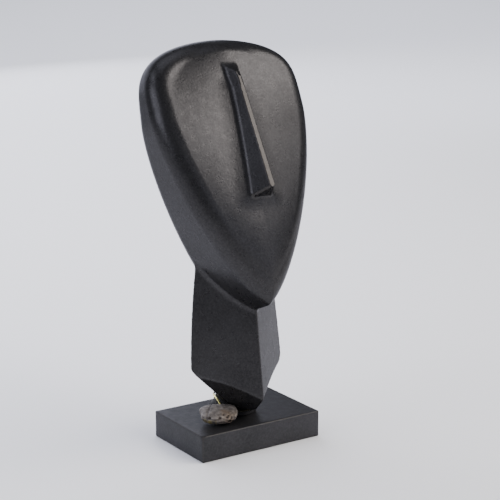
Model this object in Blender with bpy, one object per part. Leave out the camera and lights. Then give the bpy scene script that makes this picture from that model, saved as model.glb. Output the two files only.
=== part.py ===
"""Bronze head sculpture: an oval mask-like head on a faceted neck, standing on a rectangular bronze
plate, with a blank lead seal wired round the neck's foot. Metres, +Z up, the face looks along -Y, and
the origin is the centre of the plate's underside."""
import math

import bmesh
import bpy
from mathutils import Matrix, Vector

MM = 0.001
# The gap between two pieces that touch
JOINT_GAP = 0.3 * MM

# The plate that the casting stands on
BASE_WIDTH = 69.3 * MM
BASE_DEPTH = 46.3 * MM
BASE_HEIGHT = 13.6 * MM
BASE_EDGE_RADIUS = 0.6 * MM

# The head: an upright oval slab that leans back, thick at the jaw and thin at the crown. Its own frame
# has x across, y from the face to the back and z up the face from the chin.
HEAD_LEAN = math.radians(22.5)
CHIN_FORWARD = 37.2 * MM
CHIN_ABOVE_BASE = 65.2 * MM
HEAD_LENGTH = 133.7 * MM
HEAD_HALF_WIDTH = 43.5 * MM
WIDEST_FROM_CHIN = 95.0 * MM
THICK_AT_CHIN = 46.3 * MM
THICK_AT_CROWN = 15.8 * MM
FACE_RIM_RADIUS = 9.3 * MM
BACK_RIM_RADIUS = 7.1 * MM
FACE_CROWN = 3.8 * MM
BACK_CROWN = 6.0 * MM
FACE_BOW = 2.0 * MM
MIDDLE_FROM_CHIN = 74.0 * MM

# How square the oval's quarters are, at its outline and where the rim's round has ended
JAW_ACROSS = (1.30, 1.42)
JAW_ALONG = (1.51, 1.36)
CROWN_ACROSS = (1.92, 1.70)
CROWN_ALONG = (4.36, 5.60)
# How much further the pointed chin draws in than the sides do
CHIN_INSET = 1.45

# The nose: a wedge with a narrow flat ridge. Heights are up the face from the chin, or off the face.
NOSE_FOOT = 51.0 * MM
NOSE_TIP = 53.1 * MM
NOSE_RIDGE_TOP = 108.7 * MM
NOSE_TOP = 117.0 * MM
NOSE_TIP_OFF_FACE = 11.6 * MM
NOSE_RIDGE_TOP_OFF_FACE = 5.2 * MM
NOSE_FOOT_HALF_WIDTH = 7.2 * MM
NOSE_TOP_HALF_WIDTH = 3.6 * MM
NOSE_RIDGE_WIDTH = 2.3 * MM
NOSE_ROOT = 4.0 * MM

# The neck: a four-sided prism set corner forwards. Heights are above the plate.
NECK_RIDGE_FORWARD = 24.1 * MM
NECK_RIDGE_SLOPE = 0.133
NECK_FACET_SLOPE = 0.829
NECK_TOP_HEIGHT = 90.9 * MM
NECK_TIP_HEIGHT = 12.2 * MM
NECK_BACK = 25.5 * MM
NECK_BACK_SLOPE = 0.15
NECK_BACK_TOP_HEIGHT = 101.0 * MM
NECK_BACK_BULGE = 1.2 * MM
NECK_EDGE_RADIUS = 0.5 * MM
# The side corner's edge from the head down to the knee, as (across, height)
NECK_SIDE_EDGE = [(20.4 * MM, NECK_TOP_HEIGHT), (22.1 * MM, 76.1 * MM), (24.0 * MM, 58.3 * MM),
                  (25.9 * MM, 38.9 * MM), (26.6 * MM, 25.6 * MM)]
# The front facet's lower edge from the ridge's tip out to the side, as (across, height)
NECK_LOWER_EDGE = [(0.0, NECK_TIP_HEIGHT), (3.0 * MM, 13.4 * MM), (5.2 * MM, 15.0 * MM),
                   (7.9 * MM, 16.3 * MM), (10.6 * MM, 17.6 * MM), (17.0 * MM, 19.6 * MM),
                   (23.0 * MM, 21.5 * MM)]
# Where the back's points lie between the side corner and the back ridge, and the short stretches'
# points between two corners of the underside
NECK_BACK_SHARES = (0.35, 0.7, 1.0)
NECK_UNDER_SHARES = (0.4, 0.7)
# The corners where the neck is cut in to the stem: front, beside it, chamfer's end, side and back
NECK_UNDER_FRONT = (0.0, -15.6 * MM, 5.0 * MM)
NECK_UNDER_BESIDE = (4.9 * MM, -8.3 * MM, 4.9 * MM)
NECK_UNDER_CHAMFER = (7.5 * MM, -6.1 * MM, 5.5 * MM)
NECK_UNDER_SIDE = (9.8 * MM, 1.0 * MM, 10.6 * MM)
NECK_UNDER_BACK = (0.0, 10.8 * MM, 11.4 * MM)

# The stem under the neck, round at its top and spread backwards into an oval foot on the plate
STEM_RADIUS = 10.0 * MM
STEM_BEHIND_MIDDLE = 1.0 * MM
STEM_TOP_HEIGHT = 14.0 * MM
STEM_FLARE_HEIGHT = 10.6 * MM
FOOT_HALF_WIDTH = 11.2 * MM
FOOT_HALF_DEPTH = 14.3 * MM
FOOT_BEHIND_MIDDLE = 4.9 * MM
# Above 1 the foot spreads late, close to the plate
STEM_FLARE_POWER = 1.6

# The lead seal, crushed flat, leaning on the plate beside the stem
SEAL_LENGTH = 20.0 * MM
SEAL_DEPTH = 15.6 * MM
SEAL_THICKNESS = 5.4 * MM
SEAL_TILT = math.radians(13.0)
SEAL_TURN = math.radians(-28.0)
SEAL_LEFT_OF_MIDDLE = 16.8 * MM
SEAL_FORWARD_OF_MIDDLE = 10.4 * MM
# How square the seal's outline is, how blunt its edge is, and the sizes of its dents as shares. The
# dents stand out as well as in, so the plain outline is a little under the full size.
SEAL_SQUARENESS = 2.6
SEAL_EDGE_POWER = 0.55
SEAL_WIDE_DENTS = 0.04
SEAL_SMALL_DENTS = 0.02
SEAL_WARP = 0.10
SEAL_PLAIN_SHARE = 0.96
SEAL_LAYERS = 9
SEAL_SIDES = 30

# The brass wire, from the seal's back edge round the stem into the seal's right end. Its points are
# (across, back, above the plate).
WIRE_DIAMETER = 1.0 * MM
WIRE_POINT_SPACING = 2.5 * MM
WIRE_ROUTE = [
    (-11.8 * MM, -4.3 * MM, 5.4 * MM),
    (-11.7 * MM, -2.2 * MM, 6.9 * MM),
    (-11.3 * MM, 1.2 * MM, 8.4 * MM),
    (-9.8 * MM, 6.4 * MM, 8.6 * MM),
    (-5.9 * MM, 11.1 * MM, 8.2 * MM),
    (0.0, 13.2 * MM, 7.6 * MM),
    (6.0 * MM, 11.8 * MM, 6.9 * MM),
    (10.2 * MM, 7.3 * MM, 6.0 * MM),
    (11.3 * MM, 1.6 * MM, 4.9 * MM),
    (9.8 * MM, -4.4 * MM, 4.0 * MM),
    (6.2 * MM, -8.4 * MM, 3.5 * MM),
    (1.5 * MM, -10.1 * MM, 3.4 * MM),
    (-3.2 * MM, -10.3 * MM, 3.5 * MM),
    (-6.7 * MM, -10.6 * MM, 4.1 * MM),
]

OUTLINE_STEPS_PER_QUARTER = 13
RIM_STEPS = 5
FACE_STEPS = 6
# How far in towards the middle of a face its last ring lies
LAST_FACE_RING = 0.97
STEM_SIDES = 40
STEM_ROWS = 7
EDGE_SEGMENTS = 2
BASE_EDGE_SEGMENTS = 3
WIRE_ROUNDNESS = 2

# Faces that meet at more than these angles keep a crisp edge between them
ROUNDED_FORM_ANGLE = math.radians(40)
FACETED_FORM_ANGLE = math.radians(35)
NOSE_ANGLE = math.radians(20)
SEAL_ANGLE = math.radians(50)
# Faces of the neck at less than the first angle are merged, and edges over the second are rounded
FLAT_ANGLE = math.radians(0.5)
CORNER_ANGLE = math.radians(14)


def clear_scene():
    for old in list(bpy.data.objects):
        bpy.data.objects.remove(old, do_unlink=True)


def material(name, colour, roughness, metallic):
    made = bpy.data.materials.new(name)
    made.use_nodes = True
    shader = made.node_tree.nodes["Principled BSDF"]
    shader.inputs["Base Color"].default_value = (*colour, 1.0)
    shader.inputs["Roughness"].default_value = roughness
    shader.inputs["Metallic"].default_value = metallic
    return made


def mesh_object(name, mesh_data, finish):
    made = bpy.data.objects.new(name, mesh_data)
    bpy.context.scene.collection.objects.link(made)
    made.data.materials.append(finish)
    return made


def lofted_form(rows):
    """A closed form through rings of points, all with the same count, with a face over each end."""
    form = bmesh.new()
    rings = [[form.verts.new(point) for point in row] for row in rows]
    count = len(rings[0])
    for first, second in zip(rings, rings[1:]):
        for index in range(count):
            after = (index + 1) % count
            form.faces.new((first[index], first[after], second[after], second[index]))
    form.faces.new(rings[0][::-1])
    form.faces.new(rings[-1])
    bmesh.ops.recalc_face_normals(form, faces=form.faces)
    return form


def finished_mesh(form, name, smooth_angle):
    made = bpy.data.meshes.new(name)
    form.to_mesh(made)
    form.free()
    made.shade_smooth()
    made.set_sharp_from_angle(angle=smooth_angle)
    return made


def join_to(main, guide):
    """Fuses the guide's form with the main object and keeps the guide itself out of the model."""
    guide.hide_render = True
    guide.display_type = "WIRE"
    union = main.modifiers.new("with " + guide.name, "BOOLEAN")
    union.operation = "UNION"
    union.solver = "EXACT"
    union.object = guide


def thickness_at(up):
    return THICK_AT_CHIN + (THICK_AT_CROWN - THICK_AT_CHIN) * up / HEAD_LENGTH


def face_bow(up):
    """How far the slab's middle stands forward of its two ends, seen from the side."""
    share = up / HEAD_LENGTH
    return FACE_BOW * 4 * share * (1 - share)


def oval_ring(inset, shrink, fullest_inset):
    """A closed ring of (across, up) points: the head's outline drawn in by an inset, then shrunk
    towards the middle of the face. It starts at the chin and goes round by +X."""
    blend = inset / fullest_inset

    def exponent(pair):
        return pair[0] + (pair[1] - pair[0]) * blend + (2 - pair[1]) * shrink

    half_width = (HEAD_HALF_WIDTH - inset) * (1 - shrink)
    low = CHIN_INSET * inset * (1 - shrink) + MIDDLE_FROM_CHIN * shrink
    wide = WIDEST_FROM_CHIN * (1 - shrink) + MIDDLE_FROM_CHIN * shrink
    high = (HEAD_LENGTH - inset) * (1 - shrink) + MIDDLE_FROM_CHIN * shrink
    side = []
    for step in range(OUTLINE_STEPS_PER_QUARTER):
        turn = 0.5 * math.pi * step / OUTLINE_STEPS_PER_QUARTER
        across = half_width * math.sin(turn) ** (2 / exponent(JAW_ACROSS))
        side.append((across, low + (wide - low) * (1 - math.cos(turn) ** (2 / exponent(JAW_ALONG)))))
    for step in range(OUTLINE_STEPS_PER_QUARTER):
        turn = 0.5 * math.pi * step / OUTLINE_STEPS_PER_QUARTER
        across = half_width * math.cos(turn) ** (2 / exponent(CROWN_ACROSS))
        side.append((across, wide + (high - wide) * math.sin(turn) ** (2 / exponent(CROWN_ALONG))))
    mirrored = [(-across, up) for across, up in side[:0:-1]]
    return side + [(0.0, high)] + mirrored


def half_width_at(up, inset):
    """Half the width of the oval at a height up the face, drawn in by the rim's whole radius."""
    low = CHIN_INSET * inset
    high = HEAD_LENGTH - inset
    if up < WIDEST_FROM_CHIN:
        end, power, across = low, JAW_ALONG[1], JAW_ACROSS[1]
    else:
        end, power, across = high, CROWN_ALONG[1], CROWN_ACROSS[1]
    along = (up - WIDEST_FROM_CHIN) / (end - WIDEST_FROM_CHIN)
    return (HEAD_HALF_WIDTH - inset) * (1 - min(along, 1.0) ** power) ** (1 / across)


def crown_at(across, up, inset):
    """How much of its full height a crowned face has at a point, from 0 where the rim's round ends to 1
    along most of the middle line."""
    low = CHIN_INSET * inset
    high = HEAD_LENGTH - inset
    from_middle = abs(2 * (up - low) / (high - low) - 1)
    half_width = half_width_at(up, inset)
    if half_width <= abs(across):
        return 0.0
    return (1 - from_middle ** 4) * (1 - (across / half_width) ** 2)


def face_level(across, up):
    """The y of the face in the head's own frame, inside the rim's round."""
    return -face_bow(up) - FACE_CROWN * crown_at(across, up, FACE_RIM_RADIUS)


def back_level(across, up):
    return thickness_at(up) - face_bow(up) + BACK_CROWN * crown_at(across, up, BACK_RIM_RADIUS)


def head_side_rows(radius, level, into_slab):
    """Rings from the outline over one rim and across that face to its middle."""
    rows = []
    for step in range(RIM_STEPS + 1):
        turn = 0.5 * math.pi * step / RIM_STEPS
        inset = radius * (1 - math.cos(turn))
        drop = radius * (1 - math.sin(turn))
        ring = oval_ring(inset, 0.0, radius)
        rows.append([(across, level(HEAD_LENGTH, up) + into_slab * drop, up) for across, up in ring])
    for step in range(1, FACE_STEPS + 1):
        shrink = LAST_FACE_RING * step / FACE_STEPS
        ring = oval_ring(radius, shrink, radius)
        rows.append([(across, level(across, up), up) for across, up in ring])
    return rows


def make_slab(finish):
    front = head_side_rows(FACE_RIM_RADIUS, face_level, 1)
    back = head_side_rows(BACK_RIM_RADIUS, back_level, -1)
    form = lofted_form(front[::-1] + back)
    slab = mesh_object("head", finished_mesh(form, "head", ROUNDED_FORM_ANGLE), finish)
    slab.location = (0.0, -CHIN_FORWARD, BASE_HEIGHT + CHIN_ABOVE_BASE)
    slab.rotation_euler = (-HEAD_LEAN, 0.0, 0.0)
    return slab


def make_nose(slab, finish):
    """The nose in the head's own frame. Its flat sides carry on a little way under the face."""
    ridge_half_width = 0.5 * NOSE_RIDGE_WIDTH
    edges = [
        ((ridge_half_width, NOSE_TIP, NOSE_TIP_OFF_FACE), (NOSE_FOOT_HALF_WIDTH, NOSE_FOOT)),
        ((ridge_half_width, NOSE_RIDGE_TOP, NOSE_RIDGE_TOP_OFF_FACE), (NOSE_TOP_HALF_WIDTH, NOSE_TOP)),
    ]
    form = bmesh.new()
    for (across, up, off_face), (foot_across, foot_up) in edges:
        ridge = Vector((across, face_level(across, up) - off_face, up))
        foot = Vector((foot_across, face_level(foot_across, foot_up), foot_up))
        root = foot + (foot - ridge) * (NOSE_ROOT / off_face)
        for side in (-1, 1):
            form.verts.new((side * ridge.x, ridge.y, ridge.z))
            form.verts.new((side * root.x, root.y, root.z))
    hull = bmesh.ops.convex_hull(form, input=form.verts)
    inside = [item for item in hull["geom_interior"] if isinstance(item, bmesh.types.BMVert)]
    bmesh.ops.delete(form, geom=inside, context="VERTS")
    nose = mesh_object("nose guide", finished_mesh(form, "nose guide", NOSE_ANGLE), finish)
    nose.location = slab.location
    nose.rotation_euler = slab.rotation_euler
    return nose


def front_facet_point(across, height):
    """A point on the neck's flat front facet on the +X side."""
    ridge = -NECK_RIDGE_FORWARD + NECK_RIDGE_SLOPE * (height - NECK_TIP_HEIGHT)
    return Vector((across, ridge + NECK_FACET_SLOPE * across, height))


def back_point(share, side_corner, height):
    """A point on the neck's back, from the side corner (share 0) round to the back ridge (share 1)."""
    knee_height = NECK_SIDE_EDGE[-1][1]
    ridge = Vector((0.0, NECK_BACK - NECK_BACK_SLOPE * (height - knee_height), height))
    outwards = Vector((1.0, 1.0, 0.0)).normalized()
    return side_corner.lerp(ridge, share) + NECK_BACK_BULGE * math.sin(math.pi * share) * outwards


def neck_rows():
    """The neck's rings from inside the head down to where it meets the stem, without the mirrored side.
    Each starts at the front ridge and ends at the back one."""
    knee_across = NECK_SIDE_EDGE[-1][0]
    rows = []
    for level, (side_across, height) in enumerate(NECK_SIDE_EDGE):
        at_knee = level == len(NECK_SIDE_EDGE) - 1
        if at_knee:
            row = [front_facet_point(across, low) for across, low in NECK_LOWER_EDGE]
        else:
            narrowing = side_across / knee_across
            row = [front_facet_point(narrowing * across, height) for across, _ in NECK_LOWER_EDGE]
        corner = front_facet_point(side_across, height)
        row.append(corner)
        back_height = NECK_BACK_TOP_HEIGHT if level == 0 else height
        for share in NECK_BACK_SHARES:
            row.append(back_point(share, corner, height + (back_height - height) * share))
        rows.append(row)
    front, beside, chamfer, side, back = [Vector(place) for place in (
        NECK_UNDER_FRONT, NECK_UNDER_BESIDE, NECK_UNDER_CHAMFER, NECK_UNDER_SIDE, NECK_UNDER_BACK)]
    under = [front]
    under += [front.lerp(beside, share) for share in NECK_UNDER_SHARES]
    under.append(beside)
    under += [beside.lerp(chamfer, share) for share in NECK_UNDER_SHARES]
    under += [chamfer, side]
    under += [side.lerp(back, share) for share in NECK_BACK_SHARES]
    rows.append(under)
    return rows


def make_neck(finish):
    rows = []
    for half in neck_rows():
        lifted = [point + Vector((0.0, 0.0, BASE_HEIGHT)) for point in half]
        mirrored = [Vector((-point.x, point.y, point.z)) for point in lifted[-2:0:-1]]
        rows.append(lifted + mirrored)
    form = lofted_form(rows)
    bmesh.ops.dissolve_limit(form, angle_limit=FLAT_ANGLE, verts=form.verts, edges=form.edges)
    corners = [edge for edge in form.edges if edge.calc_face_angle(0.0) > CORNER_ANGLE]
    bmesh.ops.bevel(
        form, geom=corners, offset=NECK_EDGE_RADIUS, segments=EDGE_SEGMENTS, affect="EDGES", profile=0.5)
    return mesh_object("neck guide", finished_mesh(form, "neck guide", FACETED_FORM_ANGLE), finish)


def make_stem(finish):
    rows = []
    levels = [(STEM_TOP_HEIGHT, 0.0)]
    for step in range(STEM_ROWS + 1):
        share = step / STEM_ROWS
        height = STEM_FLARE_HEIGHT + (JOINT_GAP - STEM_FLARE_HEIGHT) * share
        levels.append((height, share ** STEM_FLARE_POWER))
    for height, spread in levels:
        half_width = STEM_RADIUS + (FOOT_HALF_WIDTH - STEM_RADIUS) * spread
        half_depth = STEM_RADIUS + (FOOT_HALF_DEPTH - STEM_RADIUS) * spread
        middle = STEM_BEHIND_MIDDLE + (FOOT_BEHIND_MIDDLE - STEM_BEHIND_MIDDLE) * spread
        row = []
        for step in range(STEM_SIDES):
            turn = 2 * math.pi * step / STEM_SIDES
            back = middle + half_depth * math.sin(turn)
            row.append((half_width * math.cos(turn), back, BASE_HEIGHT + height))
        rows.append(row)
    form = lofted_form(rows)
    return mesh_object("stem guide", finished_mesh(form, "stem guide", ROUNDED_FORM_ANGLE), finish)


def make_head(bronze):
    slab = make_slab(bronze)
    join_to(slab, make_nose(slab, bronze))
    join_to(slab, make_neck(bronze))
    join_to(slab, make_stem(bronze))


def make_base(bronze):
    form = bmesh.new()
    bmesh.ops.create_cube(form, size=1.0)
    bmesh.ops.scale(form, vec=(BASE_WIDTH, BASE_DEPTH, BASE_HEIGHT), verts=form.verts)
    bmesh.ops.translate(form, vec=(0.0, 0.0, 0.5 * BASE_HEIGHT), verts=form.verts)
    base = mesh_object("base", finished_mesh(form, "base", FACETED_FORM_ANGLE), bronze)
    rounding = base.modifiers.new("eased edges", "BEVEL")
    rounding.width = BASE_EDGE_RADIUS
    rounding.segments = BASE_EDGE_SEGMENTS


def make_seal(lead):
    """A pillow with a crushed, uneven rim, tilted so that its front edge rests on the plate."""
    half_length = 0.5 * SEAL_PLAIN_SHARE * SEAL_LENGTH
    half_depth = 0.5 * SEAL_PLAIN_SHARE * SEAL_DEPTH
    rows = []
    for layer in range(1, SEAL_LAYERS):
        lift = math.pi * layer / SEAL_LAYERS
        row = []
        for step in range(SEAL_SIDES):
            turn = 2 * math.pi * step / SEAL_SIDES
            wide_dents = SEAL_WIDE_DENTS * math.sin(3 * turn + 0.6)
            small_dents = SEAL_SMALL_DENTS * math.sin(7 * turn + 1.9)
            square = abs(math.cos(turn)) ** SEAL_SQUARENESS + abs(math.sin(turn)) ** SEAL_SQUARENESS
            rounding = square ** (-1 / SEAL_SQUARENESS)
            out = math.sin(lift) ** SEAL_EDGE_POWER * (1 + wide_dents + small_dents) * rounding
            warp = 1 + SEAL_WARP * math.sin(2 * turn)
            row.append((
                half_length * out * math.cos(turn),
                half_depth * out * math.sin(turn),
                -0.5 * SEAL_THICKNESS * math.cos(lift) * warp,
            ))
        rows.append(row)
    form = lofted_form(rows)
    pose = Matrix.Rotation(SEAL_TURN, 4, "Z") @ Matrix.Rotation(SEAL_TILT, 4, "X")
    bmesh.ops.transform(form, matrix=pose, verts=form.verts)
    lowest = min(vert.co.z for vert in form.verts)
    seal = mesh_object("lead_seal", finished_mesh(form, "lead_seal", SEAL_ANGLE), lead)
    seal.location = (-SEAL_LEFT_OF_MIDDLE, -SEAL_FORWARD_OF_MIDDLE, BASE_HEIGHT + JOINT_GAP - lowest)


def smooth_route(chosen, spacing):
    """Points about one spacing apart on a smooth curve through the chosen ones."""
    places = [Vector(point) for point in chosen]
    before = [2 * places[0] - places[1]] + places[:-1]
    after = places[1:] + [2 * places[-1] - places[-2]]
    slopes = [0.5 * (late - early) for early, late in zip(before, after)]
    route = [places[0]]
    for index in range(len(places) - 1):
        steps = max(1, round((places[index + 1] - places[index]).length / spacing))
        for step in range(1, steps + 1):
            share = step / steps
            square = share * share
            cube = square * share
            route.append(
                (2 * cube - 3 * square + 1) * places[index] + (cube - 2 * square + share) * slopes[index]
                + (3 * square - 2 * cube) * places[index + 1] + (cube - square) * slopes[index + 1])
    return route


def make_wire(brass):
    route = smooth_route(WIRE_ROUTE, WIRE_POINT_SPACING)
    curve = bpy.data.curves.new("seal_wire", "CURVE")
    curve.dimensions = "3D"
    curve.bevel_depth = 0.5 * WIRE_DIAMETER
    curve.bevel_resolution = WIRE_ROUNDNESS
    curve.use_fill_caps = True
    spline = curve.splines.new("POLY")
    spline.points.add(len(route) - 1)
    for point, place in zip(spline.points, route):
        point.co = (place.x, place.y, place.z + BASE_HEIGHT, 1.0)
    spline.use_smooth = True
    mesh_object("seal_wire", curve, brass)


def main():
    clear_scene()
    make_head(material("patinated bronze casting", (0.045, 0.044, 0.047), 0.38, 1.0))
    make_base(material("patinated bronze plate", (0.042, 0.042, 0.044), 0.42, 1.0))
    make_seal(material("dull lead", (0.30, 0.28, 0.25), 0.6, 1.0))
    make_wire(material("bright brass wire", (0.62, 0.55, 0.30), 0.35, 1.0))


main()
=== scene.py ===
"""The looks of the bronze head sculpture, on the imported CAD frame. Metres, +Z up, the face looks along -Y.

The casting is one fine mesh. It starts from the CAD node's own mesh, evened out, and every point is then
drawn onto one smooth surface that is written below as a distance: a leaning slab for the head, a wedge for
the nose, a faceted neck and an oval foot, run together with small fillets."""
import math

import bmesh
import bpy
import numpy as np
from mathutils import Matrix, Quaternion, Vector, noise


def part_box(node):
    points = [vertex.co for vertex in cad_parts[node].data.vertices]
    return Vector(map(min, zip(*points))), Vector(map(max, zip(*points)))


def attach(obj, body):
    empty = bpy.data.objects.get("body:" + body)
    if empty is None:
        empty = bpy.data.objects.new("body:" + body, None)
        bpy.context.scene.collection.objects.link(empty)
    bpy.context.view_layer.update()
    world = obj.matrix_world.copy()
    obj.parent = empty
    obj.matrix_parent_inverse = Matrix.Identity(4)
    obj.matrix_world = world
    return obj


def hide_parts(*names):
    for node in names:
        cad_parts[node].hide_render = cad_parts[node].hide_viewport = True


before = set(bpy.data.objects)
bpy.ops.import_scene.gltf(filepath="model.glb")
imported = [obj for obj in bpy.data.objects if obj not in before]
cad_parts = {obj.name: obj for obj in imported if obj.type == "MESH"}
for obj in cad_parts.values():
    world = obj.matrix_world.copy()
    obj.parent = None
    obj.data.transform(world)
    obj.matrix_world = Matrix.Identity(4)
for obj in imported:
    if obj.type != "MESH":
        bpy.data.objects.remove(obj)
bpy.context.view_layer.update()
MM = 0.001

# The plate and the joint above it, as the CAD has them
BASE_LOW, BASE_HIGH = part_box("base")
PLATE_TOP = BASE_HIGH[2]
JOINT_GAP = 0.3 * MM

# The head's slab, in its own frame: x across, y from the face to the back, z up the face from the chin
HEAD_LEAN = math.radians(22.5)
CHIN = (0.0, -37.2 * MM, PLATE_TOP + 65.2 * MM)
HEAD_LENGTH = 133.7 * MM
HEAD_HALF_WIDTH = 43.5 * MM
WIDEST_FROM_CHIN = 95.0 * MM
THICK_AT_CHIN = 46.3 * MM
THICK_AT_CROWN = 15.8 * MM
FACE_RIM_RADIUS = 9.3 * MM
BACK_RIM_RADIUS = 7.1 * MM
# The outline and the face are drawn in by these, to stay inside the CAD's box
INSIDE_CAD = 0.06 * MM
FACE_SET_BACK = 0.13 * MM
# The slab bows forward between its ends, and its face and its back are crowned on top of that
SLAB_BOW = 2.0 * MM
FACE_CROWN = 3.65 * MM
FACE_CROWN_POWER = 1.5
# How far the crown's slope runs on into the rim, as a share of the crown
FACE_CROWN_RUNS_ON = 0.15
# The forehead keeps this share of the face's crown up to its rim
FOREHEAD_KEEPS = 0.3
BACK_CROWN = 5.4 * MM
BACK_CROWN_POWER = 2.0
# How steeply both crowns fall towards chin and top, and how gently they run out into the rim
SWELL_END_POWER = 4
SWELL_SOFTNESS = 0.1
# Powers of the oval below and above its widest place, for the outline and for the rim's inner line
JAW_ACROSS = (1.30, 1.42)
JAW_ALONG = (1.51, 1.36)
CROWN_ACROSS = (1.92, 1.70)
CROWN_ALONG = (4.36, 5.60)
# The rim is this many times as wide at the chin as beside the face
CHIN_INSET = 1.45
# Depths between which a point's place inside the outline is looked for, and how often that is halved
SHALLOWEST = -8.0 * MM
DEEPEST = 28.0 * MM
HALVINGS = 24

# The nose: (half width, height off the slab's own plane, height up the face) along its edges
NOSE_TIP = (1.45 * MM, 17.2 * MM, 53.1 * MM)
NOSE_RIDGE_TOP = (1.2 * MM, 9.2 * MM, 112.2 * MM)
NOSE_FOOT = (7.2 * MM, 5.6 * MM, 51.0 * MM)
NOSE_TOP = (3.2 * MM, 2.6 * MM, 117.5 * MM)
NOSE_BEVEL = 0.7 * MM
# The wedge ends this far in front of the slab's plane, which is well inside the crowned face
NOSE_ROOT_COVER = 0.4 * MM
NOSE_EDGE_RADIUS = 0.25 * MM
NOSE_BLEND = 1.6 * MM
# How wide a strip along the ridge and the bevel is rubbed bright
NOSE_RUBBED_STRIP = 0.16 * MM

# The face rises gently towards the nose all round it, between these ends with these half widths
NOSE_BED_RISE = 0.9 * MM
NOSE_BED_REACH = 8.5 * MM
NOSE_BED_HALF_WIDTH = (6.4 * MM, 2.8 * MM)
NOSE_BED_ENDS = (52.0 * MM, 105.0 * MM)

# The neck, with heights above the plate
NECK_RIDGE_FORWARD = 24.1 * MM
NECK_RIDGE_SLOPE = 0.133
NECK_RIDGE_SOFTNESS = 0.35 * MM
NECK_RIDGE_PROUD = 0.15 * MM
NECK_FACET_SLOPE = 0.829
NECK_TIP_HEIGHT = 12.2 * MM
NECK_KNEE_HEIGHT = 25.6 * MM
NECK_KNEE_DEPTH = -0.3 * MM
NECK_HALF_WIDTH = 26.6 * MM
NECK_SIDE_TAPER = 0.045
NECK_SIDE_CURVE = 0.9
NECK_BACK = 25.5 * MM
NECK_BACK_SLOPE = 0.15
NECK_BACK_BULGE = 1.0 * MM
NECK_TOP_HEIGHT = 92.0 * MM
NECK_UNDERSIDE = 4.9 * MM
NECK_UNDER_CHAMFER = (7.5 * MM, -6.1 * MM, 5.5 * MM)
NECK_UNDER_SIDE = (9.8 * MM, 1.0 * MM, 10.6 * MM)
NECK_UNDER_BACK = (0.0, 10.8 * MM, 11.4 * MM)
# The hollow cut under the front: its slopes outwards, back and up, and how it dips, deepest a little
# way out from the middle
CHAMFER_SLOPES = (0.70, 0.52, 0.49)
CHAMFER_OFFSET = 6.0 * MM
CHAMFER_MIDDLE = 9.2 * MM
CHAMFER_HOLLOW = 5.1
NECK_EDGE_RADIUS = 0.55 * MM
NECK_BACK_EDGE_RADIUS = 1.6 * MM
NECK_BACK_EDGE_PROUD = 0.4
NECK_BLEND = 1.8 * MM

# The stem and its oval foot
STEM_RADIUS = 10.0 * MM
STEM_BEHIND_MIDDLE = 1.0 * MM
STEM_TOP_HEIGHT = 14.0 * MM
STEM_FLARE_HEIGHT = 10.6 * MM
FOOT_HALF_WIDTH = 11.2 * MM
FOOT_HALF_DEPTH = 14.3 * MM
FOOT_BEHIND_MIDDLE = 4.9 * MM
STEM_FLARE_POWER = 1.6
STEM_EDGE_RADIUS = 0.25 * MM
STEM_BLEND = 1.5 * MM

# The casting's mesh: the spacing of its points, the share of triangles kept, and how points are moved
EVEN_SPACING = 0.6 * MM
KEPT_SHARE = 0.62
LEAST_STEEPNESS = 0.05
LONGEST_MOVE = 0.6 * MM
# Bends, per metre, from which an edge is rubbed or a crease is dirty, and over which that grows to full
RUBBED_BENDS = (500, 1800)
DIRTY_BENDS = (700, 3000)
EDGE_WEAR = 0.3
NOSE_WEAR = 0.5
# How strongly painted shade darkens the low foot, under the neck
FOOT_PAINTED_SHADE = 0.9

# The plate: squares along its length, depth and height, its eased and slightly wavy edges, and its nick
PLATE_SQUARES = (60, 40, 12)
PLATE_EDGE_RADIUS = 0.6 * MM
PLATE_EDGE_WAVE = 0.08 * MM
PLATE_WAVES_PER_METRE = 120.0
NICK_REACH = 2.2 * MM
NICK_DEPTH = 0.5 * MM

# The seal, where part.py has it. Its own frame runs along its length, back through its depth and up
SEAL_TO_LEFT = 10.0 * MM
SEAL_TO_RIGHT = 8.7 * MM
SEAL_HALF_DEPTH = 7.3 * MM
SEAL_TOP_HEIGHT = 2.5 * MM
SEAL_BELLY_DEPTH = 4.4 * MM
SEAL_TOP_POWER = 3.0
SEAL_BELLY_POWER = 2.0
SEAL_SQUARENESS = 3.2
SEAL_TILT = math.radians(11.0)
SEAL_TURN = math.radians(-28.0)
SEAL_LEFT_OF_MIDDLE = 16.8 * MM
SEAL_FORWARD_OF_MIDDLE = 10.4 * MM
SEAL_SIDES = 150
SEAL_LAYERS = 70
# The folded lip at its left end, and the hem along its front
SEAL_FOLD_PLACE = -5.6 * MM
SEAL_FOLD_SLANT = 0.25
SEAL_FOLD_DEPTH = 0.45 * MM
SEAL_CREASE_WIDTH = 0.45 * MM
SEAL_HEM_RISE = 0.25
SEAL_HEM_WIDTH = 0.12
SEAL_HEM_DEPTH = 0.5 * MM
SEAL_HEM_END = 1.5 * MM
SEAL_CRACK_DEPTH = 0.4 * MM
SEAL_DENT_DEPTH = 0.3 * MM
SEAL_HOLE_DEPTH = 0.9 * MM
# Each hole as its turn round the seal in degrees, its rise from belly (-1) to top (1), and its radius
SEAL_HOLES = [
    (-123.0, 0.5, 1.1 * MM),
    (-93.0, 0.5, 1.1 * MM),
    (-76.0, 0.85, 0.8 * MM),
    (-67.0, 0.6, 0.9 * MM),
    (-60.0, 0.75, 0.8 * MM),
    (-52.0, 0.4, 1.3 * MM),
    (-60.0, -0.2, 1.3 * MM),
]

# The wire: its route is part.py's, as (across, back, above the plate)
WIRE_DIAMETER = 1.0 * MM
WIRE_POINT_SPACING = 2.5 * MM
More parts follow.
